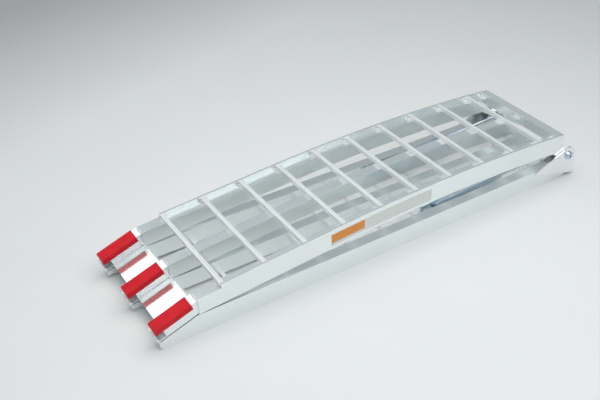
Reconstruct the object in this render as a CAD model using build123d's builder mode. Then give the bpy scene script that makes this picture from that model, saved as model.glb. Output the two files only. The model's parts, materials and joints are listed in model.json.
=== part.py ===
from build123d import *
from math import atan2, cos, degrees, hypot, radians, sin, sqrt
import os

# ---------------------------------------------------------------- ramp rails
WIDTH = 275.0            # over the outer faces of the outer rails
RAIL_W = 25.0            # box rail, across the ramp
RAIL_H = 40.0            # box rail, without the curb
RAIL_WALL = 2.0
CURB_H = 10.0            # lip above the rail top, as tall as the rungs
CURB_W = 5.0
DEPTH = CURB_H + RAIL_H  # tread line to rail underside

# ------------------------------------------------- arched tread of upper half
TREAD_Z = 105.5          # tread height above the floor at the first rung
SLOPE = 4.8              # degrees, straight stretch behind the tongue
STRAIGHT = 281.0         # first rung to the start of the arc
ARC_R = 4400.0
UPPER_FRONT = -60.0      # rail front end, measured along the tread
CURB_FRONT = -5.0
UPPER_END = 978.8        # hinge end face, measured along the tread
BUTT_GAP = 0.4           # left between the halves when unfolded

# ---------------------------------------------------------------- rungs, bars
PITCH = 100.0
UPPER_RUNGS = 10
LOWER_RUNGS = 11
RUNG_W = 10.0
RUNG_H = 9.6
RUNG_BASE = 7.2          # height of the rung between its two rounded ridges
RIDGE_W = 3.6
END_BAR = 25.0           # square end bars next to the hinge
END_BAR_WALL = 2.5
LAST_RUNG = 71.5         # lower end face to the nearest rung centre

# ---------------------------------------------------------------- ground end
TOE_X = -144.0           # front face of the toe bar
TOE_CHAMFER = 6.0        # lower front corner of the curbs
TAPER_LEN = 84.0
TAPER_Z = 20.0           # height of the tapered rail ends at the toe

# ---------------------------------------------------------------- tongue
FINGER_SLOPE = 20.0
FINGER_X = -66.0         # a point on the underside of the fingers
FINGER_Z = 51.4
FINGER_H = 33.0
FINGER_L = 86.0          # from that point to the tip
FINGER_WALL = 3.0
NOTCH_START = 66.0
NOTCH_TOP = 22.0
TIP_STEP = 6.0           # the capped top of a finger stops short of its tip
CAP_T = 2.5
CAP_SIDE = 13.5
CAP_START = -5.5
CAP_BEVEL = 3.0          # top edge of the cap at the tip
CAP_ROUND = 1.5          # long top edges of the cap
PAN_T = 3.0
PAN_START = -12.0
PAN_LIP = 8.0
PAN_ROUND = 1.0

# ---------------------------------------------------------------- hinge
HINGE_OFF = 33.0         # pivot to either end face
BOLT_D = 12.0
RUN = 0.05               # radial running clearance
PLATE_T = 5.0
PLATE_PAD = 0.5          # lifts the plates clear of the moving rail
PLATE_SHOULDER = 1.5     # top of the plate's seat, below the rail top
PLATE_R = 24.0
PLATE_BACK = 112.0
PLATE_TIP = 6.0          # height of the plate's narrow end
PLATE_LOW = 3.0          # plate corner above the floor
EAR_MID = 40.0           # direction of a point on the plate's round ear, degrees
INNER_R = 17.0
INNER_BACK = 62.0
INNER_LIFT = 2.0         # inner plate above the end bar
BRACKET_R = 14.0
BRACKET_T = 4.0
BRACKET_GAP = 0.5
WEB_T = 3.0
KNEE_RUN = 1.0           # bracket knee to the lower rail's end when unfolded
BRACKET_STEP = 1.0       # bracket walls start this far below the end bar
HEAD_D = 22.0
HEAD_H = 7.0
HEAD_ROUND = 4.0
SOCKET_AF = 8.0
SOCKET_DEEP = 4.0
NUT_AF = 19.0
NUT_H = 10.0
BOLT_TAIL = 3.0

# ---------------------------------------------------------------- legs
LEG_S = 37.0             # leg axis inside the outer face, past the inner plate
LEG_TILT = 3.0           # degrees, the legs hang a little below level
EYE_W = 12.0
EYE_RUN = 0.3            # side clearance of the eye
EYE_R = 10.0
EYE_ROOT = 2.0           # rod end let into the eye
ROD_D = 10.0
ROD_LEN = 365.0
ROD_CHAMFER = 1.0
TUBE_START = 216.0       # pivot to the near end of the leg tube
TUBE_LEN = 194.0
TUBE_D = 20.0
TUBE_WALL = 2.0
BUSH_L = 15.0
FLAT_T = 6.0
FLAT_H = 28.0
FLAT_L = 30.0
FLAT_RUN = 18.0
FLAT_ROUND = 2.95        # corner radius of the flattened end
FOOT_HOLE = 9.0
LOCK_AF = 19.0
LOCK_H = 10.0

# ---------------------------------------------------------------- label
LABEL_T = 0.4
LABEL_TOP = 12.0
LABEL_LOW = 42.0
BLOCK_LOW = 34.5         # underside of the coloured block
LABEL_START = 262.0
LABEL_SPLIT = 350.0
LABEL_END = 540.0

CUT = 1.0                # how far a cut runs past the surface it opens
Y_OUT = WIDTH / 2


def tread_angle(s):
    """Slope of the arched tread, in degrees, at length s from the first rung."""
    if s <= STRAIGHT:
        return SLOPE
    return SLOPE - degrees((s - STRAIGHT) / ARC_R)


def tread_point(s, depth=0.0):
    """Point at length s along the tread and depth below it, as (x, z)."""
    a0 = radians(SLOPE)
    a = radians(tread_angle(s))
    run = min(s, STRAIGHT)
    x = run * cos(a0)
    z = TREAD_Z + run * sin(a0)
    if s > STRAIGHT:
        x += ARC_R * (sin(a0) - sin(a))
        z += ARC_R * (cos(a) - cos(a0))
    return (x + depth * sin(a) - X_MID, z - depth * cos(a))


X_MID = 0.0
RAIL_END = UPPER_END - END_BAR
# The end bar carries on along the tangent of the arch.
END_ANGLE = radians(tread_angle(RAIL_END))
rail_x, rail_z = tread_point(RAIL_END)
end_x = rail_x + END_BAR * cos(END_ANGLE)
end_z = rail_z + END_BAR * sin(END_ANGLE)
# The pivot sits as far above the lower tread as below the upper one.
PIVOT_Z = (end_z + HINGE_OFF * sin(END_ANGLE)) / (1 + cos(END_ANGLE))
pivot_x = end_x + HINGE_OFF * cos(END_ANGLE) + PIVOT_Z * sin(END_ANGLE)
tip_x = FINGER_X - (FINGER_L - TIP_STEP + CAP_T) * cos(radians(FINGER_SLOPE))
tip_x -= (FINGER_H + CAP_T - CAP_BEVEL) * sin(radians(FINGER_SLOPE))
last_x = pivot_x + HINGE_OFF - BUTT_GAP
X_MID = (tip_x + last_x) / 2   # the frame origin is under the middle of the box
PIVOT_X = pivot_x - X_MID
LOWER_END = last_x - X_MID


def side_plane(y):
    """Side view plane at y: local x, y are the frame's x, z; extrude goes to -y."""
    return Plane(origin=(0, y, 0), x_dir=(1, 0, 0), z_dir=(0, -1, 0))


def local_plane(x, z, y, angle):
    """Side view plane at a point, turned by angle degrees about the y axis."""
    a = radians(angle)
    return Plane(origin=(x, y, z), x_dir=(cos(a), 0, sin(a)), z_dir=(0, -1, 0))


def rail_spans():
    """The three rails as (name, low y, curb side), the near side first."""
    return (
        ("near", -Y_OUT, -1),
        ("middle", -RAIL_W / 2, 0),
        ("far", Y_OUT - RAIL_W, 1),
    )


def curb_top_y(y_low, side):
    """High y of the curb of a rail that starts at y_low."""
    return y_low + CURB_W if side < 0 else y_low + RAIL_W


def arched_band(s0, s1, top, bottom):
    """Face between two depths below the arched tread."""
    bend = max(s0, STRAIGHT)
    mid = (bend + s1) / 2
    with BuildLine() as outline:
        if s0 < STRAIGHT:
            Line(tread_point(s0, top), tread_point(bend, top))
            Line(tread_point(bend, bottom), tread_point(s0, bottom))
        ThreePointArc(tread_point(bend, top), tread_point(mid, top), tread_point(s1, top))
        Line(tread_point(s1, top), tread_point(s1, bottom))
        ThreePointArc(tread_point(s1, bottom), tread_point(mid, bottom), tread_point(bend, bottom))
        Line(tread_point(s0, bottom), tread_point(s0, top))
    make_face(outline.edges())


def tangent_point(px, py, cx, cy, r, turn):
    """Point where the line from (px, py) touches a circle, on the chosen side."""
    dist = hypot(px - cx, py - cy)
    base = atan2(py - cy, px - cx)
    half = atan2(sqrt(dist * dist - r * r), r)
    return (cx + r * cos(base + turn * half), cy + r * sin(base + turn * half))


def make_upper_rail(name, y_low, side):
    """Arched box rail, open at both ends; the outer ones carry a curb."""
    with BuildPart() as rail:
        with BuildSketch(side_plane(y_low + RAIL_W)):
            arched_band(UPPER_FRONT, RAIL_END, CURB_H, DEPTH)
        extrude(amount=RAIL_W)
        with BuildSketch(side_plane(y_low + RAIL_W - RAIL_WALL)):
            arched_band(UPPER_FRONT - CUT, RAIL_END + CUT, CURB_H + RAIL_WALL, DEPTH - RAIL_WALL)
        extrude(amount=RAIL_W - 2 * RAIL_WALL, mode=Mode.SUBTRACT)
        if side:
            with BuildSketch(side_plane(curb_top_y(y_low, side))):
                arched_band(CURB_FRONT, RAIL_END, 0, CURB_H)
            extrude(amount=CURB_W)
    rail.part.label = f"upper_rail_{name}"
    return rail.part


def make_lower_rail(name, y_low, side):
    """Straight box rail, tread down, with its closed ground end tapered from above."""
    x0 = TOE_X - X_MID
    x1 = LOWER_END - END_BAR
    taper_x = x0 + TAPER_LEN
    rise = (DEPTH - TAPER_Z) / TAPER_LEN
    # The sloping wall is as thick as the others, so it is taller upright.
    upright = RAIL_WALL * hypot(1, rise)
    low = CURB_H + RAIL_WALL
    high = DEPTH - RAIL_WALL
    with BuildPart() as rail:
        with BuildSketch(side_plane(y_low + RAIL_W)):
            with BuildLine():
                Polyline((x0, CURB_H), (x1, CURB_H), (x1, DEPTH), (taper_x, DEPTH), (x0, TAPER_Z), close=True)
            make_face()
        extrude(amount=RAIL_W)
        with BuildSketch(side_plane(y_low + RAIL_W - RAIL_WALL)):
            with BuildLine():
                Polyline(
                    (x0 + RAIL_WALL, low),
                    (x1 + CUT, low),
                    (x1 + CUT, high),
                    (taper_x + (upright - RAIL_WALL) / rise, high),
                    (x0 + RAIL_WALL, TAPER_Z + RAIL_WALL * rise - upright),
                    close=True,
                )
            make_face()
        extrude(amount=RAIL_W - 2 * RAIL_WALL, mode=Mode.SUBTRACT)
        if side:
            with BuildSketch(side_plane(curb_top_y(y_low, side))):
                with BuildLine():
                    Polyline(
                        (x0, CURB_H),
                        (x0, TOE_CHAMFER),
                        (x0 + TOE_CHAMFER, 0),
                        (x1, 0),
                        (x1, CURB_H),
                        close=True,
                    )
                make_face()
            extrude(amount=CURB_W)
    rail.part.label = f"lower_rail_{name}"
    return rail.part


def rung_profile(up):
    """Grip rung section: a flat bar with a rounded ridge along each edge, seated at y = 0."""
    half = RUNG_W / 2
    groove = half - RIDGE_W
    crest = half - RIDGE_W / 2
    spring = RUNG_H - RIDGE_W / 2
    with BuildLine() as outline:
        Polyline((-half, up * spring), (-half, 0), (half, 0), (half, up * spring))
        ThreePointArc((half, up * spring), (crest, up * RUNG_H), (groove, up * spring))
        Polyline(
            (groove, up * spring),
            (groove, up * RUNG_BASE),
            (-groove, up * RUNG_BASE),
            (-groove, up * spring),
        )
        ThreePointArc((-groove, up * spring), (-crest, up * RUNG_H), (-half, up * spring))
    make_face(outline.edges())


def rung_profile(up):
    """Grip rung section: a flat bar with a ridge along each edge, seated at y = 0."""
    groove = RUNG_W / 2 - RIDGE_W
    with BuildLine() as outline:
        Polyline(
            (-RUNG_W / 2, 0),
            (RUNG_W / 2, 0),
            (RUNG_W / 2, up * RUNG_H),
            (groove, up * RUNG_H),
            (groove - 1, up * RUNG_BASE),
            (1 - groove, up * RUNG_BASE),
            (-groove, up * RUNG_H),
            (-RUNG_W / 2, up * RUNG_H),
            close=True,
        )
    make_face(outline.edges())


def make_rung(name, x, z, angle, up):
    """Rung from curb to curb, lying on the rails."""
    length = WIDTH - 2 * CURB_W
    with BuildPart() as rung:
        with BuildSketch(local_plane(x, z, length / 2, angle)):
            rung_profile(up)
        extrude(amount=length)
    rung.part.label = name
    return rung.part


def make_end_bar(name, plane, z_low, length):
    """Square tube across the rail ends; local x runs back from the end face."""
    half = END_BAR / 2
    inner = END_BAR - 2 * END_BAR_WALL
    with BuildPart() as bar:
        with BuildSketch(plane):
            with Locations((-half, z_low + half)):
                Rectangle(END_BAR, END_BAR)
                Rectangle(inner, inner, mode=Mode.SUBTRACT)
        extrude(amount=length)
    bar.part.label = name
    return bar.part


def finger_plane(y):
    """Side plane of the tongue: local x runs to the tip, local y up from the underside."""
    a = radians(FINGER_SLOPE)
    return Plane(
        origin=(FINGER_X - X_MID, y, FINGER_Z),
        x_dir=(-cos(a), 0, -sin(a)),
        z_dir=(0, 1, 0),
    )


def finger_root(h):
    """Finger coordinate at which height h meets the front face of the rails."""
    a = radians(FINGER_SLOPE)
    b = radians(SLOPE)
    fx, fz = tread_point(UPPER_FRONT, CURB_H)
    fx -= FINGER_X - X_MID
    fz -= FINGER_Z
    # Front face of the rail in finger axes: a point and a direction.
    px = -fx * cos(a) - fz * sin(a)
    py = -fx * sin(a) + fz * cos(a)
    dx = -sin(b) * cos(a) + cos(b) * sin(a)
    dy = -sin(b) * sin(a) - cos(b) * cos(a)
    return px + dx * (h - py) / dy


def make_finger(name, y_low):
    """Box finger welded to a rail end, with one side open near its tip."""
    wall = FINGER_WALL
    root = finger_root(0)
    step = FINGER_H + CAP_T - CAP_SIDE
    short = FINGER_L - TIP_STEP
    with BuildPart() as finger:
        with BuildSketch(finger_plane(y_low)):
            with BuildLine():
                Polyline(
                    (root, 0),
                    (FINGER_L, 0),
                    (FINGER_L, step),
                    (short, step),
                    (short, FINGER_H),
                    (finger_root(FINGER_H), FINGER_H),
                    close=True,
                )
            make_face()
        extrude(amount=RAIL_W)
        with BuildSketch(finger_plane(y_low + wall)):
            with Locations(((root + FINGER_L) / 2, FINGER_H / 2)):
                Rectangle(FINGER_L - root + 2 * CUT, FINGER_H - 2 * wall)
        extrude(amount=RAIL_W - 2 * wall, mode=Mode.SUBTRACT)
        with BuildSketch(finger_plane(y_low - CUT)):
            with Locations(((NOTCH_START + FINGER_L + CUT) / 2, (wall + NOTCH_TOP) / 2)):
                Rectangle(FINGER_L + CUT - NOTCH_START, NOTCH_TOP - wall)
        extrude(amount=wall + 2 * CUT, mode=Mode.SUBTRACT)
    finger.part.label = f"tongue_finger_{name}"
    return finger.part


def make_cap(name, y_low):
    """Soft saddle over the top of a finger, closed at its front end."""
    top = FINGER_H + CAP_T
    low = top - CAP_SIDE
    inside = FINGER_L - TIP_STEP
    end = inside + CAP_T
    crown = end - CAP_BEVEL - CAP_START
    with BuildPart() as cap:
        with BuildSketch(finger_plane(y_low - CAP_T)):
            with BuildLine():
                Polyline(
                    (CAP_START, low),
                    (end, low),
                    (end, top - CAP_BEVEL),
                    (end - CAP_BEVEL, top),
                    (CAP_START, top),
                    close=True,
                )
            make_face()
        extrude(amount=RAIL_W + 2 * CAP_T)
        fillet(cap.edges().filter_by(lambda edge: abs(edge.length - crown) < CAP_ROUND), radius=CAP_ROUND)
        with BuildSketch(finger_plane(y_low)):
            with Locations(((CAP_START - CUT + inside) / 2, (low - CUT + FINGER_H) / 2)):
                Rectangle(inside - CAP_START + CUT, FINGER_H - low + CUT)
        extrude(amount=RAIL_W, mode=Mode.SUBTRACT)
    cap.part.label = f"tongue_cap_{name}"
    return cap.part


def make_pan(name, y_low, y_high):
    """Sheet between two fingers, with its rear edge turned up."""
    with BuildPart() as pan:
        with BuildSketch(finger_plane(y_low)):
            with BuildLine():
                Polyline(
                    (PAN_START, 0),
                    (NOTCH_START, 0),
                    (NOTCH_START, PAN_T),
                    (PAN_START + PAN_T, PAN_T),
                    (PAN_START + PAN_T, PAN_LIP),
                    (PAN_START, PAN_LIP),
                    close=True,
                )
            make_face()
        extrude(amount=y_high - y_low)
        fillet(pan.edges().filter_by(Axis.Y).group_by(Axis.X)[-1], radius=PAN_ROUND)
    pan.part.label = f"tongue_pan_{name}"
    return pan.part


def pivot_plane(y, angle):
    """Side view plane centred on the hinge pivot."""
    return local_plane(PIVOT_X, PIVOT_Z, y, angle)


def bolt_cylinder(radius, y_low, y_high, mode):
    """Cylinder on the pivot axis, cut or added by the mode."""
    with BuildSketch(pivot_plane(y_high, 0)) as disc:
        Circle(radius)
    extrude(disc.sketch, amount=y_high - y_low, mode=mode)


def plate_outline(back, radius, right, foot):
    """Hinge plate: a foot on the rail and a round ear on the pivot."""
    shoulder = DEPTH - PLATE_SHOULDER - PIVOT_Z
    top_left = (-back, shoulder)
    low_left = (-back, shoulder - PLATE_TIP)
    up = tangent_point(*top_left, 0, 0, radius, -1)
    down = tangent_point(right, foot, 0, 0, radius, 1)
    ear = radians(EAR_MID)
    with BuildLine() as outline:
        Polyline(up, top_left, low_left, (right, foot), down)
        ThreePointArc(down, (radius * cos(ear), radius * sin(ear)), up)
    make_face(outline.edges())


def make_hinge_plate(name, side, inner):
    """Plate on one face of an outer lower rail, holding the hinge bolt."""
    right = HINGE_OFF - BUTT_GAP
    if inner:
        face = side * (Y_OUT - RAIL_W)
        out = -side
        back, radius = INNER_BACK, INNER_R
        foot = END_BAR + INNER_LIFT - PIVOT_Z
    else:
        face = side * Y_OUT
        out = side
        back, radius = PLATE_BACK, PLATE_R
        foot = PLATE_LOW - PIVOT_Z
    low = min(face + out * PLATE_PAD, face + out * PLATE_T)
    high = max(face + out * PLATE_PAD, face + out * PLATE_T)
    pad_high = max(face, face + out * PLATE_PAD)
    pad_top = DEPTH - PLATE_SHOULDER - PIVOT_Z
    with BuildPart() as plate:
        with BuildSketch(pivot_plane(high, 0)):
            plate_outline(back, radius, right, foot)
        extrude(amount=high - low)
        with BuildSketch(pivot_plane(pad_high, 0)):
            with BuildLine():
                Polyline(
                    (-back, pad_top),
                    (-back, pad_top - PLATE_TIP),
                    (right, foot),
                    (right - PLATE_T, pad_top),
                    close=True,
                )
            make_face()
        extrude(amount=PLATE_PAD)
        bolt_cylinder(BOLT_D / 2 + RUN, low - CUT, high + CUT, Mode.SUBTRACT)
    place = "inner" if inner else "outer"
    plate.part.label = f"hinge_plate_{place}_{side_name(side)}"
    return plate.part


def side_name(side):
    """Name of the near or far side of the ramp."""
    return "near" if side < 0 else "far"


def make_bracket(side):
    """Channel bracket from an upper rail end to the hinge bolt."""
    end = -HINGE_OFF
    back = end - END_BAR
    low = PIVOT_Z - DEPTH
    bar_low = PIVOT_Z - END_BAR
    step = bar_low - BRACKET_STEP
    angle = degrees(END_ANGLE)
    outer = side * (Y_OUT - BRACKET_GAP)
    inner = side * (Y_OUT - RAIL_W + BRACKET_GAP)
    outer_high = max(outer, outer - side * BRACKET_T)
    inner_high = max(inner, inner + side * BRACKET_T)
    band_high = max(outer, inner)
    under = tangent_point(back, low, 0, 0, BRACKET_R, 1)
    crown = (0, BRACKET_R)
    # The knee lets the bracket pass over the lower rail's end when unfolded.
    knee = (END_BAR - HINGE_OFF - KNEE_RUN, BRACKET_R)
    slope = atan2(bar_low - knee[1], end - knee[0])
    with BuildPart() as bracket:
        for high, top in ((outer_high, PIVOT_Z), (inner_high, bar_low)):
            with BuildSketch(pivot_plane(high, angle)):
                with BuildLine():
                    Polyline(under, (back, low), (back, top), (end, top), (end, step), knee, crown)
                    ThreePointArc(crown, (BRACKET_R, 0), under)
                make_face()
            extrude(amount=BRACKET_T)
        # Web between the two walls, on the hinge side.
        with BuildSketch(pivot_plane(band_high, angle)):
            with BuildLine():
                Polyline(
                    knee,
                    (end, step),
                    (end, bar_low),
                    (end - WEB_T / sin(slope), bar_low),
                    (knee[0] - WEB_T * sin(slope), knee[1] + WEB_T * cos(slope)),
                    close=True,
                )
            make_face()
        extrude(amount=RAIL_W - 2 * BRACKET_GAP)
        bolt_cylinder(BOLT_D / 2 + RUN, band_high - RAIL_W - CUT, band_high + CUT, Mode.SUBTRACT)
    bracket.part.label = f"upper_bracket_{side_name(side)}"
    return bracket.part


def nut_seat():
    """Distance from the middle of the ramp to the outer face of a hinge nut."""
    return Y_OUT - LEG_S - EYE_W / 2 - EYE_RUN


def make_hinge_bolts():
    """Two round-head hinge bolts, heads outside."""
    with BuildPart() as bolts:
        for side in (-1, 1):
            head = side * (Y_OUT + PLATE_T)
            tail = side * (nut_seat() - NUT_H - BOLT_TAIL)
            bolt_cylinder(BOLT_D / 2, min(head, tail), max(head, tail), Mode.ADD)
            tip = head + side * HEAD_H
            bolt_cylinder(HEAD_D / 2, min(head, tip), max(head, tip), Mode.ADD)
        rims = bolts.edges().filter_by(GeomType.CIRCLE).group_by(Axis.Y)
        fillet(rims[0] + rims[-1], radius=HEAD_ROUND)
        for side in (-1, 1):
            tip = side * (Y_OUT + PLATE_T + HEAD_H)
            with BuildSketch(pivot_plane(max(tip, tip - side * SOCKET_DEEP), 0)):
                RegularPolygon(SOCKET_AF / 2, 6, major_radius=False)
            extrude(amount=SOCKET_DEEP, mode=Mode.SUBTRACT)
    bolts.part.label = "hinge_bolts"
    return bolts.part


def make_hinge_nuts():
    """Two hexagon nuts inside the leg eyes."""
    with BuildPart() as nuts:
        for side in (-1, 1):
            seat = side * nut_seat()
            end = seat - side * NUT_H
            with BuildSketch(pivot_plane(max(seat, end), 0)):
                RegularPolygon(NUT_AF / 2, 6, major_radius=False)
                Circle(BOLT_D / 2 + RUN, mode=Mode.SUBTRACT)
            extrude(amount=NUT_H)
    nuts.part.label = "hinge_nuts"
    return nuts.part


def leg_y(side):
    """Centre of a leg across the ramp."""
    return side * (Y_OUT - LEG_S)


def leg_point(reach):
    """Point on a leg's axis at a distance from the pivot, as (x, z)."""
    tilt = radians(LEG_TILT)
    return (PIVOT_X - reach * cos(tilt), PIVOT_Z - reach * sin(tilt))


def cross_plane(reach, y):
    """Plane across a leg at a distance from the pivot, looking towards its foot."""
    x, z = leg_point(reach)
    tilt = radians(LEG_TILT)
    return Plane(origin=(x, y, z), x_dir=(0, 1, 0), z_dir=(-cos(tilt), 0, -sin(tilt)))


def make_leg_rod(side):
    """Threaded leg rod with the eye that hangs on the hinge bolt."""
    y = leg_y(side)
    root = EYE_R - EYE_ROOT
    with BuildPart() as rod:
        with BuildSketch(cross_plane(root, y)):
            Circle(ROD_D / 2)
        extrude(amount=ROD_LEN - root)
        chamfer(rod.edges().filter_by(GeomType.CIRCLE).sort_by(Axis.X)[0], length=ROD_CHAMFER)
        bolt_cylinder(EYE_R, y - EYE_W / 2, y + EYE_W / 2, Mode.ADD)
        bolt_cylinder(BOLT_D / 2 + RUN, y - EYE_W, y + EYE_W, Mode.SUBTRACT)
    rod.part.label = f"leg_rod_{side_name(side)}"
    return rod.part


def make_leg_tube(side):
    """Leg tube sliding on the rod, flattened and drilled at its foot."""
    y = leg_y(side)
    round_end = TUBE_START + TUBE_LEN
    flat_start = round_end + FLAT_RUN
    hole_x, hole_z = leg_point(flat_start + FLAT_L / 2)
    with BuildPart() as tube:
        with BuildSketch(cross_plane(TUBE_START, y)):
            Circle(TUBE_D / 2)
        extrude(amount=TUBE_LEN)
        with BuildSketch(cross_plane(round_end, y)):
            Circle(TUBE_D / 2)
        with BuildSketch(cross_plane(flat_start, y)):
            RectangleRounded(FLAT_T, FLAT_H, FLAT_ROUND)
        loft()
        with BuildSketch(cross_plane(flat_start, y)):
            RectangleRounded(FLAT_T, FLAT_H, FLAT_ROUND)
        extrude(amount=FLAT_L)
        with BuildSketch(cross_plane(TUBE_START + BUSH_L, y)):
            Circle(TUBE_D / 2 - TUBE_WALL)
        extrude(amount=TUBE_LEN - BUSH_L, mode=Mode.SUBTRACT)
        with BuildSketch(cross_plane(TUBE_START, y)):
            Circle(ROD_D / 2 + RUN)
        extrude(amount=BUSH_L, mode=Mode.SUBTRACT)
        with BuildSketch(local_plane(hole_x, hole_z, y + FLAT_T, 0)):
            Circle(FOOT_HOLE / 2)
        extrude(amount=2 * FLAT_T, mode=Mode.SUBTRACT)
    tube.part.label = f"leg_tube_{side_name(side)}"
    return tube.part


def make_lock_nut(side):
    """Hexagon nut that locks the leg tube on the rod."""
    with BuildPart() as nut:
        with BuildSketch(cross_plane(TUBE_START - LOCK_H, leg_y(side))):
            RegularPolygon(LOCK_AF / 2, 6, major_radius=False)
            Circle(ROD_D / 2 + RUN, mode=Mode.SUBTRACT)
        extrude(amount=LOCK_H)
    nut.part.label = f"leg_lock_nut_{side_name(side)}"
    return nut.part


def make_label(name, s0, s1, low, step):
    """Blank plate on the outer face of the near upper rail, cut back around the block."""
    with BuildPart() as label:
        with BuildSketch(side_plane(-Y_OUT)):
            arched_band(s0, s1, LABEL_TOP, low)
        extrude(amount=LABEL_T)
        if step:
            with BuildSketch(side_plane(-Y_OUT)):
                arched_band(LABEL_START - CUT, LABEL_SPLIT, LABEL_TOP - CUT, BLOCK_LOW)
            extrude(amount=LABEL_T, mode=Mode.SUBTRACT)
    label.part.label = name
    return label.part


def build_upper():
    """Every piece of the half that folds up."""
    pieces = []
    for name, y_low, side in rail_spans():
        pieces.append(make_upper_rail(name, y_low, side))
        pieces.append(make_finger(name, y_low))
        pieces.append(make_cap(name, y_low))
    for i in range(UPPER_RUNGS):
        s = i * PITCH
        x, z = tread_point(s, CURB_H)
        pieces.append(make_rung(f"upper_rung_{i + 1:02d}", x, z, tread_angle(s), 1))
    bar_plane = local_plane(end_x - X_MID, end_z, Y_OUT - CURB_W, degrees(END_ANGLE))
    pieces.append(make_end_bar("upper_end_bar", bar_plane, -END_BAR, WIDTH - 2 * CURB_W))
    pieces.append(make_pan("near", RAIL_W - Y_OUT, -RAIL_W / 2))
    pieces.append(make_pan("far", RAIL_W / 2, Y_OUT - RAIL_W))
    pieces.append(make_bracket(-1))
    pieces.append(make_bracket(1))
    pieces.append(make_label("label_panel", LABEL_START, LABEL_END, LABEL_LOW, True))
    pieces.append(make_label("label_block", LABEL_START, LABEL_SPLIT, BLOCK_LOW, False))
    return pieces


def build_lower():
    """Every piece of the half that lies on the floor."""
    pieces = []
    for name, y_low, side in rail_spans():
        pieces.append(make_lower_rail(name, y_low, side))
    for i in range(LOWER_RUNGS):
        x = LOWER_END - LAST_RUNG - (LOWER_RUNGS - 1 - i) * PITCH
        pieces.append(make_rung(f"lower_rung_{i + 1:02d}", x, CURB_H, 0, -1))
    bar_plane = local_plane(LOWER_END, 0, Y_OUT - CURB_W, 0)
    pieces.append(make_end_bar("lower_end_bar", bar_plane, 0, WIDTH - 2 * CURB_W))
    for side in (-1, 1):
        pieces.append(make_hinge_plate("outer", side, False))
        pieces.append(make_hinge_plate("inner", side, True))
    pieces.append(make_hinge_bolts())
    pieces.append(make_hinge_nuts())
    return pieces


def build_legs():
    """Both adjustable support legs."""
    pieces = []
    for side in (-1, 1):
        pieces.append(make_leg_rod(side))
        pieces.append(make_leg_tube(side))
        pieces.append(make_lock_nut(side))
    return pieces


os.makedirs("parts", exist_ok=True)
for piece in build_upper() + build_lower() + build_legs():
    export_step(piece, f"parts/{piece.label}.step")
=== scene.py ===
"""Folding arched loading ramp: finishes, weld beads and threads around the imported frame."""

import json
import math

import bmesh
import bpy
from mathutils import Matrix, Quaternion, Vector


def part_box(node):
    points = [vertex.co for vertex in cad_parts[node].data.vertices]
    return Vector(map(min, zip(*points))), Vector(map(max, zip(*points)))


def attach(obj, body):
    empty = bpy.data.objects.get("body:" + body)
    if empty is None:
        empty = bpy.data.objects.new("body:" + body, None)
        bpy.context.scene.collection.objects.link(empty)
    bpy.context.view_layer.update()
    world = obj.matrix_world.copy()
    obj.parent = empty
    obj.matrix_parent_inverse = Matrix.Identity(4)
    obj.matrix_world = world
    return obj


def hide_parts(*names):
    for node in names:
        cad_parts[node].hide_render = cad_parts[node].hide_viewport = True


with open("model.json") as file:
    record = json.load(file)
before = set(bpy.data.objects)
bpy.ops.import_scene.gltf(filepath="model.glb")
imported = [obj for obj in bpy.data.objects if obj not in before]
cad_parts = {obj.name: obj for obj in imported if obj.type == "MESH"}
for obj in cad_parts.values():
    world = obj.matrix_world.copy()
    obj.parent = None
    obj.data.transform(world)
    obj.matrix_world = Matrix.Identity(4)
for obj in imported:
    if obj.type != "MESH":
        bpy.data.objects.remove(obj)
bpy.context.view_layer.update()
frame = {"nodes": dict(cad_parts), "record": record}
NODES = frame["nodes"]
JOINTS = {joint["name"]: joint for joint in frame["record"]["behaviour"]["joints"]}
PIVOT = Vector(JOINTS["fold"]["pos_m"])
SIDES = ("near", "far")
RAILS = ("near", "middle", "far")

# ---------------------------------------------------------------- camera
CAMERA_AT = Vector((-1.0212, -1.2245, 1.1999))
CAMERA_AZIMUTH = -34.89
CAMERA_ELEVATION = 35.92
CAMERA_ROLL = 1.62
LENS = 49.82
SENSOR = 36.0

# ---------------------------------------------------------------- details
CURB_W = 0.005
RAIL_W = 0.025
RUNG_TOP = 0.010         # tread line above the flat of the rails
BEAD_PITCH = 0.0026      # one ripple of a weld bead
BEAD_SIDES = 10
RINGS_PER_RIPPLE = 4
THREAD_PITCH = 0.0015
THREAD_DEPTH = 0.0008
THREAD_SIDES = 20
RINGS_PER_TURN = 6
EDGE_ROUND = 0.0007      # soft edges of extrusions, in shading
EDGE_SAMPLES = 4

# ---------------------------------------------------------------- form of a weld bead
BEAD_SWELL = 0.15        # share by which each ripple swells
BEAD_DRIFT = 0.07        # slow unevenness along a bead
DRIFT_RATE = 5.1
DRIFT_SHIFT = 90         # makes beads at different places differ
BEAD_TAPER = 6           # higher rounds the ends off later
BEAD_TIP = 0.12          # share of the radius left at the very ends

# ---------------------------------------------------------------- rung beads
TREAD_IN = 0.001         # beads stop short of a rail's edges
FOOT_BEAD = 0.0016
NOOK_OUT = 0.0008        # corner beads stand off the corner of rung and curb
RISE_SHARE = 0.9         # height of the upright bead over the rung's height
RISE_BEAD = 0.0026
ALONG_RUN = 0.007
ALONG_BEAD = 0.0022
ACROSS_RUN = 0.009
ACROSS_BEAD = 0.0030
CREST_DROP = 0.0019
CREST_IN = 0.0004
CREST_HALF = 0.0065
CREST_BEAD = 0.0016

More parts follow.
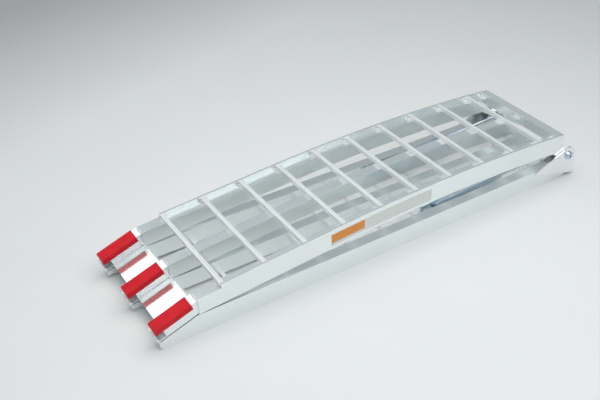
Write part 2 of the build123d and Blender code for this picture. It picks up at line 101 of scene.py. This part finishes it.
# ---------------------------------------------------------------- tongue, end bar and plate beads
MITRE_BEAD = 0.0022
MITRE_SIDE_BEAD = 0.0014
PAN_IN = 0.0006
PAN_END = 0.004          # seam stops short of the pan's ends
PAN_FRONT_LIFT = 0.001
PAN_REAR_LIFT = 0.0024
PAN_BEAD = 0.0013
BAR_BEAD = 0.002
BAR_IN = 0.0006
BAR_DROP = 0.009
BAR_RISE = 0.0082
BAR_RUN = 0.008
BAR_CORNER_BEAD = 0.0018
STITCHES = (0.12, 0.42, 0.72)    # starts, as shares of the plate's lower edge
STITCH_IN = 0.0008
STITCH_DROP = 0.006
STITCH_L = 0.012
STITCH_BEAD = 0.0016
TAIL_LOW = 0.004
TAIL_TOP = 0.0005

# ---------------------------------------------------------------- leg rods
ROD_R = 0.005
EYE_BORE_R = 0.00605
EYE_LAP = 0.0012         # rod starts this far outside the bore
EYE_NECK = 0.030         # plain rod between the eye and the thread
EYE_RIM = 0.0008         # chamfer of the eye's rims
EYE_SIDES = 48


# ---------------------------------------------------------------- node helpers
def put(tree, kind, settings=None, **sockets):
    """New node with its settings, and each named socket set or linked."""
    node = tree.nodes.new(kind)
    for key, value in (settings or {}).items():
        setattr(node, key, value)
    for key, value in sockets.items():
        socket = node.inputs[key.replace("_", " ")]
        if isinstance(value, bpy.types.NodeSocket):
            tree.links.new(value, socket)
        else:
            socket.default_value = value
    return node


def new_material(name):
    """Empty Principled material as (material, tree, shader)."""
    material = bpy.data.materials.new(name)
    material.use_nodes = True
    tree = material.node_tree
    return material, tree, tree.nodes["Principled BSDF"]


def noise(tree, scale, stretch=(1, 1, 1), detail=3.0, rough=0.55):
    """Noise value in the object's own coordinates, in metres, stretched per axis."""
    place = put(tree, "ShaderNodeTexCoord")
    mapped = put(tree, "ShaderNodeMapping", Vector=place.outputs["Object"], Scale=stretch)
    found = put(
        tree, "ShaderNodeTexNoise", Vector=mapped.outputs[0], Scale=scale, Detail=detail, Roughness=rough
    )
    return found.outputs[0]


def spread(tree, value, low, high, start=0.3, stop=0.7):
    """Value between start and stop mapped to low and high."""
    ranged = put(
        tree, "ShaderNodeMapRange", Value=value, From_Min=start, From_Max=stop, To_Min=low, To_Max=high
    )
    return ranged.outputs[0]


def mix(tree, value, dark, light):
    """Colour between dark and light by value."""
    node = put(tree, "ShaderNodeMix", {"data_type": "RGBA"})
    tree.links.new(value, node.inputs[0])
    node.inputs[6].default_value = (*dark, 1)
    node.inputs[7].default_value = (*light, 1)
    return node.outputs[2]


def edge_band(tree, radius):
    """Normal softened over the edges, and a value that is high right on them."""
    edge = put(tree, "ShaderNodeBevel", {"samples": EDGE_SAMPLES}, Radius=radius)
    flat = put(tree, "ShaderNodeNewGeometry")
    both = put(tree, "ShaderNodeVectorMath", {"operation": "DOT_PRODUCT"})
    tree.links.new(edge.outputs[0], both.inputs[0])
    tree.links.new(flat.outputs["Normal"], both.inputs[1])
    return edge.outputs[0], spread(tree, both.outputs["Value"], 1, 0, 0.80, 0.99)


def metal(name, dark, light, rough, grain, bump, metallic):
    """Metal with fine drawn streaks along the axis that grain leaves long."""
    material, tree, shader = new_material(name)
    streak = noise(tree, 1.0, grain, 4.0)
    cloud = noise(tree, 14.0, (1, 1, 1), 4.0)
    tone = put(tree, "ShaderNodeMath", {"operation": "MULTIPLY"})
    tree.links.new(streak, tone.inputs[0])
    tree.links.new(cloud, tone.inputs[1])
    colour = mix(tree, spread(tree, tone.outputs[0], 0, 1, 0.14, 0.38), dark, light)
    tree.links.new(colour, shader.inputs["Base Color"])
    tree.links.new(spread(tree, streak, rough[0], rough[1]), shader.inputs["Roughness"])
    shader.inputs["Metallic"].default_value = metallic
    edge = put(tree, "ShaderNodeBevel", {"samples": EDGE_SAMPLES}, Radius=EDGE_ROUND)
    relief = put(
        tree, "ShaderNodeBump", Strength=bump, Distance=0.0004, Height=streak, Normal=edge.outputs[0]
    )
    tree.links.new(relief.outputs[0], shader.inputs["Normal"])
    return material


def weld_material():
    """Bright cast look of aluminium weld beads, with fine darker, rougher specks at random."""
    material, tree, shader = new_material("weld_aluminium")
    speck = noise(tree, 700.0, (1, 1, 1), 3.0)
    colour = mix(tree, spread(tree, speck, 0, 1, 0.36, 0.50), (0.30, 0.32, 0.33), (0.97, 0.98, 0.98))
    tree.links.new(colour, shader.inputs["Base Color"])
    tree.links.new(spread(tree, speck, 0.50, 0.30), shader.inputs["Roughness"])
    shader.inputs["Metallic"].default_value = 0.6
    relief = put(tree, "ShaderNodeBump", Strength=0.3, Distance=0.0003, Height=speck)
    tree.links.new(relief.outputs[0], shader.inputs["Normal"])
    return material


def cap_material():
    """Semi-gloss red moulding with a fine grain and a painted highlight of paler pink along the edges.
    """
    material, tree, shader = new_material("red_cap")
    grain = noise(tree, 1400.0, (1, 1, 1), 2.0)
    cloud = noise(tree, 45.0, (1, 1, 1), 3.0)
    normal, painted_highlight_mask = edge_band(tree, 0.0012)
    body = mix(tree, spread(tree, cloud, 0, 1), (0.64, 0.010, 0.020), (0.74, 0.018, 0.030))
    # painted highlight: a paler pink mixed into the colour right on the bevelled edges
    edge = put(tree, "ShaderNodeMix", {"data_type": "RGBA"})
    tree.links.new(painted_highlight_mask, edge.inputs[0])
    tree.links.new(body, edge.inputs[6])
    edge.inputs[7].default_value = (0.92, 0.26, 0.28, 1)
    tree.links.new(edge.outputs[2], shader.inputs["Base Color"])
    tree.links.new(spread(tree, grain, 0.42, 0.56), shader.inputs["Roughness"])
    shader.inputs["Specular IOR Level"].default_value = 0.16
    relief = put(tree, "ShaderNodeBump", Strength=0.35, Distance=0.0003, Height=grain, Normal=normal)
    tree.links.new(relief.outputs[0], shader.inputs["Normal"])
    return material


def label_material(name, dark, light, border):
    """Printed vinyl, plain, with a thin border line and a slight unevenness in the ink."""
    material, tree, shader = new_material(name)
    ink = noise(tree, 320.0, (1, 1, 1), 3.0)
    rim = edge_band(tree, 0.0014)[1]
    framed = put(tree, "ShaderNodeMix", {"data_type": "RGBA"})
    tree.links.new(rim, framed.inputs[0])
    tree.links.new(mix(tree, spread(tree, ink, 0, 1), dark, light), framed.inputs[6])
    framed.inputs[7].default_value = (*border, 1)
    tree.links.new(framed.outputs[2], shader.inputs["Base Color"])
    tree.links.new(spread(tree, ink, 0.28, 0.40), shader.inputs["Roughness"])
    return material


# ---------------------------------------------------------------- mesh helpers
def mesh_piece(name, shape, material, body):
    """Object from a bmesh that rides on a body."""
    mesh = bpy.data.meshes.new(name)
    bmesh.ops.recalc_face_normals(shape, faces=shape.faces)
    shape.to_mesh(mesh)
    shape.free()
    for face in mesh.polygons:
        face.use_smooth = True
    mesh.materials.append(material)
    piece = bpy.data.objects.new(name, mesh)
    bpy.context.scene.collection.objects.link(piece)
    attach(piece, body)
    return piece


def tube(shape, rings):
    """Closed skin over a list of rings, each a list of points."""
    made = [[shape.verts.new(point) for point in ring] for ring in rings]
    count = len(made[0])
    for low, high in zip(made, made[1:]):
        for i in range(count):
            j = (i + 1) % count
            shape.faces.new((low[i], low[j], high[j], high[i]))
    shape.faces.new(list(reversed(made[0])))
    shape.faces.new(made[-1])


def bead(shape, start, stop, radius):
    """Weld bead from start to stop: a rippled tube with rounded ends."""
    span = stop - start
    ripples = max(2, round(span.length / BEAD_PITCH))
    count = ripples * RINGS_PER_RIPPLE
    turn = span.to_track_quat("Z", "Y")
    rings = []
    for i in range(count + 1):
        t = i / count
        ends = math.sqrt(max(0.0, 1 - abs(2 * t - 1) ** BEAD_TAPER))
        swell = BEAD_SWELL * math.cos(2 * math.pi * ripples * t)
        drift = BEAD_DRIFT * math.sin(DRIFT_RATE * t * ripples + start.x * DRIFT_SHIFT)
        r = radius * max(ends, BEAD_TIP) * (1 + swell + drift)
        ring = []
        for k in range(BEAD_SIDES):
            a = 2 * math.pi * k / BEAD_SIDES
            ring.append(start + span * t + turn @ Vector((r * math.cos(a), r * math.sin(a), 0)))
        rings.append(ring)
    tube(shape, rings)


# ---------------------------------------------------------------- rung welds
def centre(node):
    """Middle of a node's box."""
    low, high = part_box(node)
    return (low + high) / 2


def rung_names(half):
    """Names of the rungs of one half, in order."""
    return sorted(name for name in NODES if name.startswith(f"{half}_rung_"))


def rung_frames(half, up):
    """Centre, direction along the ramp and tread normal of each rung."""
    spots = [centre(name) for name in rung_names(half)]
    frames = []
    for i, spot in enumerate(spots):
        before = spots[max(i - 1, 0)]
        after = spots[min(i + 1, len(spots) - 1)]
        along = (after - before).normalized()
        normal = Vector((-along.z, 0, along.x)) * up
        frames.append((spot, along, normal))
    return frames


def rail_tread(half, rail):
    """Low and high y of the flat tread surface of a rail."""
    low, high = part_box(f"{half}_rail_{rail}")
    start = low.y + (CURB_W if rail == "near" else 0)
    stop = high.y - (CURB_W if rail == "far" else 0)
    return start, stop


def rung_welds(half, up, body, material):
    """Beads between each rung and the rails, and at the curbs."""
    shape = bmesh.new()
    flat_low, flat_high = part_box("lower_rung_01")
    rung_w = flat_high.x - flat_low.x
    rung_h = flat_high.z - flat_low.z
    low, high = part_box(rung_names(half)[0])
    for spot, along, normal in rung_frames(half, up):
        base = spot - normal * rung_h / 2
        for rail in RAILS:
            y0, y1 = rail_tread(half, rail)
            for side in (-1, 1):
                foot = base + along * side * rung_w / 2
                start = Vector((foot.x, y0 + TREAD_IN, foot.z))
                stop = Vector((foot.x, y1 - TREAD_IN, foot.z))
                bead(shape, start, stop, FOOT_BEAD)
        for end, inward in ((low.y, 1), (high.y, -1)):
            for side in (-1, 1):
                nook = base + along * side * (rung_w / 2 + NOOK_OUT)
                nook.y = end + inward * NOOK_OUT
                bead(shape, nook, nook + normal * rung_h * RISE_SHARE, RISE_BEAD)
                bead(shape, nook, nook + along * side * ALONG_RUN, ALONG_BEAD)
                bead(shape, nook, nook + Vector((0, inward * ACROSS_RUN, 0)), ACROSS_BEAD)
            crest = base + normal * (rung_h - CREST_DROP)
            crest.y = end + inward * CREST_IN
            bead(shape, crest - along * CREST_HALF, crest + along * CREST_HALF, CREST_BEAD)
    return mesh_piece(f"{half}_rung_welds", shape, material, body)


# ---------------------------------------------------------------- other welds
def corner(node, sx, sz):
    """Vertex of a node furthest along (sx, sz) in side view, as (x, z)."""
    mesh = NODES[node].data
    place = NODES[node].matrix_world
    best = max((place @ vert.co for vert in mesh.vertices), key=lambda spot: sx * spot.x + sz * spot.z)
    return best.x, best.z


def across(shape, spot, y0, y1, radius):
    """Bead straight across the ramp at a side-view point."""
    bead(shape, Vector((spot[0], y0, spot[1])), Vector((spot[0], y1, spot[1])), radius)


def tongue_welds(material):
    """Mitre welds of the fingers and seams between the pans and the fingers."""
    shape = bmesh.new()
    for rail in RAILS:
        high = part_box(f"upper_rail_{rail}")[1]
        start = high.y - RAIL_W + TREAD_IN
        top = corner(f"tongue_finger_{rail}", 1, 2)
        bottom = corner(f"tongue_finger_{rail}", 1, -0.5)
        across(shape, top, start, high.y - TREAD_IN, MITRE_BEAD)
        for y in (high.y - RAIL_W, high.y):
            upper, lower = Vector((top[0], y, top[1])), Vector((bottom[0], y, bottom[1]))
            bead(shape, upper, lower, MITRE_SIDE_BEAD)
    for side in SIDES:
        low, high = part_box(f"tongue_pan_{side}")
        front = corner(f"tongue_pan_{side}", -1, 0.3)
        rear = corner(f"tongue_pan_{side}", 1, -0.5)
        for y in (low.y + PAN_IN, high.y - PAN_IN):
            bead(
                shape,
                Vector((front[0] + PAN_END, y, front[1] + PAN_FRONT_LIFT)),
                Vector((rear[0] - PAN_END, y, rear[1] + PAN_REAR_LIFT)),
                PAN_BEAD,
            )
    return mesh_piece("tongue_welds", shape, material, "upper")


def end_welds(half, up, body, material):
    """Beads where the rails meet the end bar of one half."""
    shape = bmesh.new()
    bar_low, bar_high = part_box(f"{half}_end_bar")
    rear = corner(f"{half}_end_bar", -1, 0.9 * up)
    for rail in RAILS:
        y0, y1 = rail_tread(half, rail)
        across(shape, (rear[0], rear[1] - up * RUNG_TOP), y0 + TREAD_IN, y1 - TREAD_IN, BAR_BEAD)
    for y, inward in ((bar_low.y, 1), (bar_high.y, -1)):
        foot = Vector((rear[0] - BAR_IN, y + inward * BAR_IN, rear[1] - up * BAR_DROP))
        bead(shape, foot, foot + Vector((0, 0, up * BAR_RISE)), BAR_CORNER_BEAD)
        bead(shape, foot, foot + Vector((-BAR_RUN, 0, 0)), BAR_CORNER_BEAD)
    return mesh_piece(f"{half}_end_welds", shape, material, body)


def plate_welds(material):
    """Short stitches that hold the hinge plates to the lower rails."""
    shape = bmesh.new()
    for side in SIDES:
        low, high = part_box(f"hinge_plate_outer_{side}")
        y = low.y + STITCH_IN if side == "far" else high.y - STITCH_IN
        tail = corner(f"hinge_plate_outer_{side}", -1, 0)
        heel = corner(f"hinge_plate_outer_{side}", 1, -3)
        for t in STITCHES:
            x = tail[0] + (heel[0] - tail[0]) * t
            z = tail[1] - STITCH_DROP + (heel[1] - tail[1] + STITCH_DROP) * t
            slope = Vector((heel[0] - tail[0], 0, heel[1] - tail[1] + STITCH_DROP)).normalized()
            bead(shape, Vector((x, y, z)), Vector((x, y, z)) + slope * STITCH_L, STITCH_BEAD)
        below = Vector((tail[0], y, tail[1] - TAIL_LOW))
        above = Vector((tail[0], y, tail[1] - TAIL_TOP))
        bead(shape, below, above, STITCH_BEAD)
    return mesh_piece("hinge_plate_welds", shape, material, "lower")


# ---------------------------------------------------------------- threads
def threaded_rod(side, material):
    """Leg rod with real threads, its eye on the hinge bolt."""
    low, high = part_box(f"leg_rod_{side}")
    hub = Vector((PIVOT.x, (low.y + high.y) / 2, PIVOT.z))
    down = Vector(JOINTS[f"leg_{side}_extend"]["axis"]).normalized()
    wide = Vector((0, 1, 0))
    deep = down.cross(wide)
    eye_r = high.x - PIVOT.x
    reach = (PIVOT.x - low.x) / -down.x
    shape = bmesh.new()

    def ring_at(distance, radii):
        """Points around the rod at a distance from the hub."""
        return [
            hub + down * distance + wide * r * math.cos(a) + deep * r * math.sin(a)
            for r, a in zip(radii, turn_angles(THREAD_SIDES))
        ]

    thread_from = eye_r + EYE_NECK
    plain = [ROD_R] * THREAD_SIDES
    rings = [ring_at(EYE_BORE_R + EYE_LAP, plain), ring_at(thread_from, plain)]
    length = reach - thread_from
    count = int(length / THREAD_PITCH * RINGS_PER_TURN)
    for i in range(count + 1):
        along = length * i / count
        phases = [(along / THREAD_PITCH - k / THREAD_SIDES) % 1 for k in range(THREAD_SIDES)]
        radii = [ROD_R - THREAD_DEPTH * abs(2 * phase - 1) for phase in phases]
        rings.append(ring_at(thread_from + along, radii))
    tube(shape, rings)
    eye_ring(shape, hub, EYE_BORE_R, eye_r, high.y - low.y)
    piece = mesh_piece(f"leg_rod_thread_{side}", shape, material, f"leg_{side}_rod")
    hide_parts(f"leg_rod_{side}")
    return piece


def turn_angles(count):
    """Evenly spaced angles of one turn."""
    return [2 * math.pi * k / count for k in range(count)]


def eye_ring(shape, middle, inner, outer, width):
    """Ring about the y axis with chamfered rims."""
    c = EYE_RIM
    half = width / 2
    profile = (
        (inner, -half + c), (inner + c, -half), (outer - c, -half), (outer, -half + c),
        (outer, half - c), (outer - c, half), (inner + c, half), (inner, half - c),
    )
    loops = []
    for a in turn_angles(EYE_SIDES):
        loops.append([
            shape.verts.new(middle + Vector((r * math.cos(a), dy, r * math.sin(a)))) for r, dy in profile
        ])
    for i, loop in enumerate(loops):
        other = loops[(i + 1) % len(loops)]
        for k in range(len(profile)):
            j = (k + 1) % len(profile)
            shape.faces.new((loop[k], loop[j], other[j], other[k]))


# ---------------------------------------------------------------- stage
def painted_floor_falloff(tree):
    """Painted light falloff on the floor paper: full brightness around the ramp, with painted shade
    darker far off and to the back.
    """
    place = put(tree, "ShaderNodeTexCoord")
    reach = put(tree, "ShaderNodeVectorMath", {"operation": "DISTANCE"})
    tree.links.new(place.outputs["Object"], reach.inputs[0])
    reach.inputs[1].default_value = (-0.2, -0.4, 0)
    back = put(tree, "ShaderNodeVectorMath", {"operation": "DOT_PRODUCT"})
    tree.links.new(place.outputs["Object"], back.inputs[0])
    back.inputs[1].default_value = (-0.30, 0.95, 0)
    both = put(tree, "ShaderNodeMath", {"operation": "MULTIPLY"})
    tree.links.new(spread(tree, reach.outputs["Value"], 1.0, 0.86, 0.5, 2.0), both.inputs[0])
    tree.links.new(spread(tree, back.outputs["Value"], 1.0, 0.66, 0.85, 1.64), both.inputs[1])
    return both.outputs[0]


def studio():
    """Pale floor with a painted light falloff, soft lights and a grey world to reflect."""
    floor_mesh = bpy.data.meshes.new("floor")
    size = 9.0
    floor_mesh.from_pydata(
        [(-size, -size, 0), (size, -size, 0), (size, size, 0), (-size, size, 0)], [], [(0, 1, 2, 3)]
    )
    floor = bpy.data.objects.new("floor", floor_mesh)
    bpy.context.scene.collection.objects.link(floor)
    material, tree, shader = new_material("floor_paper")
    grain = noise(tree, 3.0, (1, 1, 1), 2.0)
    paper = mix(tree, grain, (0.79, 0.80, 0.79), (0.83, 0.84, 0.83))
    # painted shade: the paper colour scaled down by the painted light falloff
    painted_shade = put(tree, "ShaderNodeVectorMath", {"operation": "SCALE"}, Scale=painted_floor_falloff(tree))
    tree.links.new(paper, painted_shade.inputs[0])
    tree.links.new(painted_shade.outputs[0], shader.inputs["Base Color"])
    shader.inputs["Roughness"].default_value = 0.75
    shader.inputs["Specular IOR Level"].default_value = 0.25
    floor_mesh.materials.append(material)
    soft_light("key", Vector((0.0, -0.5, 2.0)), Vector((0.0, -0.3, 0.0)), 2.6, 32.0)
    soft_light("back", Vector((-0.83, 1.9, 2.3)), Vector((-0.5, 0.0, 0.0)), 1.3, 7.0)
    world = bpy.data.worlds.new("studio")
    bpy.context.scene.world = world
    world.use_nodes = True
    tree = world.node_tree
    place = put(tree, "ShaderNodeTexCoord")
    split = put(tree, "ShaderNodeSeparateXYZ", Vector=place.outputs["Generated"])
    ramp = put(tree, "ShaderNodeValToRGB", Fac=split.outputs["Z"])
    stops = ramp.color_ramp.elements
    stops[0].position = 0.0
    stops[0].color = (0.52, 0.54, 0.54, 1)
    stops[1].position = 0.95
    stops[1].color = (0.80, 0.82, 0.83, 1)
    middle = stops.new(0.6)
    middle.color = (0.34, 0.39, 0.43, 1)
    tree.links.new(ramp.outputs["Color"], tree.nodes["Background"].inputs["Color"])
    tree.nodes["Background"].inputs["Strength"].default_value = 0.80


def soft_light(name, place, target, size, power):
    """Square area light aimed at a target."""
    data = bpy.data.lights.new(name, "AREA")
    data.size = size
    data.energy = power
    lamp = bpy.data.objects.new(name, data)
    bpy.context.scene.collection.objects.link(lamp)
    lamp.location = place
    lamp.rotation_mode = "QUATERNION"
    lamp.rotation_quaternion = (target - place).to_track_quat("-Z", "Y")


def make_camera():
    """Camera at the viewing angle worked out for the ramp."""
    a = math.radians(CAMERA_AZIMUTH)
    e = math.radians(CAMERA_ELEVATION)
    back = Vector((math.sin(a) * math.cos(e), -math.cos(a) * math.cos(e), math.sin(e)))
    data = bpy.data.cameras.new("camera")
    data.lens = LENS
    data.sensor_width = SENSOR
    camera = bpy.data.objects.new("camera", data)
    bpy.context.scene.collection.objects.link(camera)
    camera.location = CAMERA_AT
    camera.rotation_mode = "QUATERNION"
    level = (-back).to_track_quat("-Z", "Y")
    camera.rotation_quaternion = level @ Quaternion((0, 0, 1), math.radians(CAMERA_ROLL))
    bpy.context.scene.camera = camera


# ---------------------------------------------------------------- finishes
ALONG = (6, 260, 260)
ACROSS = (260, 6, 260)
EVEN = (300, 300, 300)
DRAWN = (12, 300, 300)

# dark, light, roughness range, grain, bump, metallic
METALS = {
    "rail_aluminium": ((0.88, 0.93, 0.93), (0.93, 0.97, 0.97), (0.19, 0.25), ALONG, 0.006, 0.78),
    "rung_aluminium": ((0.94, 0.96, 0.96), (0.97, 0.98, 0.98), (0.29, 0.35), ACROSS, 0.006, 0.45),
    "bar_aluminium": ((0.88, 0.93, 0.93), (0.93, 0.97, 0.97), (0.19, 0.25), ACROSS, 0.006, 0.78),
    "sheet_aluminium": ((0.90, 0.92, 0.92), (0.94, 0.96, 0.96), (0.08, 0.16), ALONG, 0.006, 0.85),
    "zinc_steel": ((0.50, 0.60, 0.70), (0.78, 0.84, 0.90), (0.14, 0.28), EVEN, 0.02, 1.0),
    "zinc_tube": ((0.42, 0.55, 0.64), (0.66, 0.76, 0.83), (0.08, 0.16), DRAWN, 0.02, 1.0),
}
# dark, light, border
LABELS = {
    "label_orange": ((0.80, 0.26, 0.03), (0.88, 0.32, 0.05), (0.70, 0.24, 0.04)),
    "label_pale": ((0.74, 0.78, 0.74), (0.79, 0.82, 0.78), (0.16, 0.18, 0.17)),
}
FINISHES = {name: metal(name, *look) for name, look in METALS.items()}
FINISHES["red_cap"] = cap_material()
FINISHES.update({name: label_material(name, *look) for name, look in LABELS.items()})

for row in frame["record"]["subparts"]:
    own = NODES[row["node"]].data.materials
    own.clear()
    own.append(FINISHES[row["material_slot"]])

weld = weld_material()
rung_welds("upper", 1, "upper", weld)
rung_welds("lower", -1, "lower", weld)
tongue_welds(weld)
end_welds("upper", 1, "upper", weld)
end_welds("lower", -1, "lower", weld)
plate_welds(weld)
for side_word in SIDES:
    threaded_rod(side_word, FINISHES["zinc_steel"])

studio()
make_camera()
bpy.context.scene.view_settings.view_transform = "Standard"
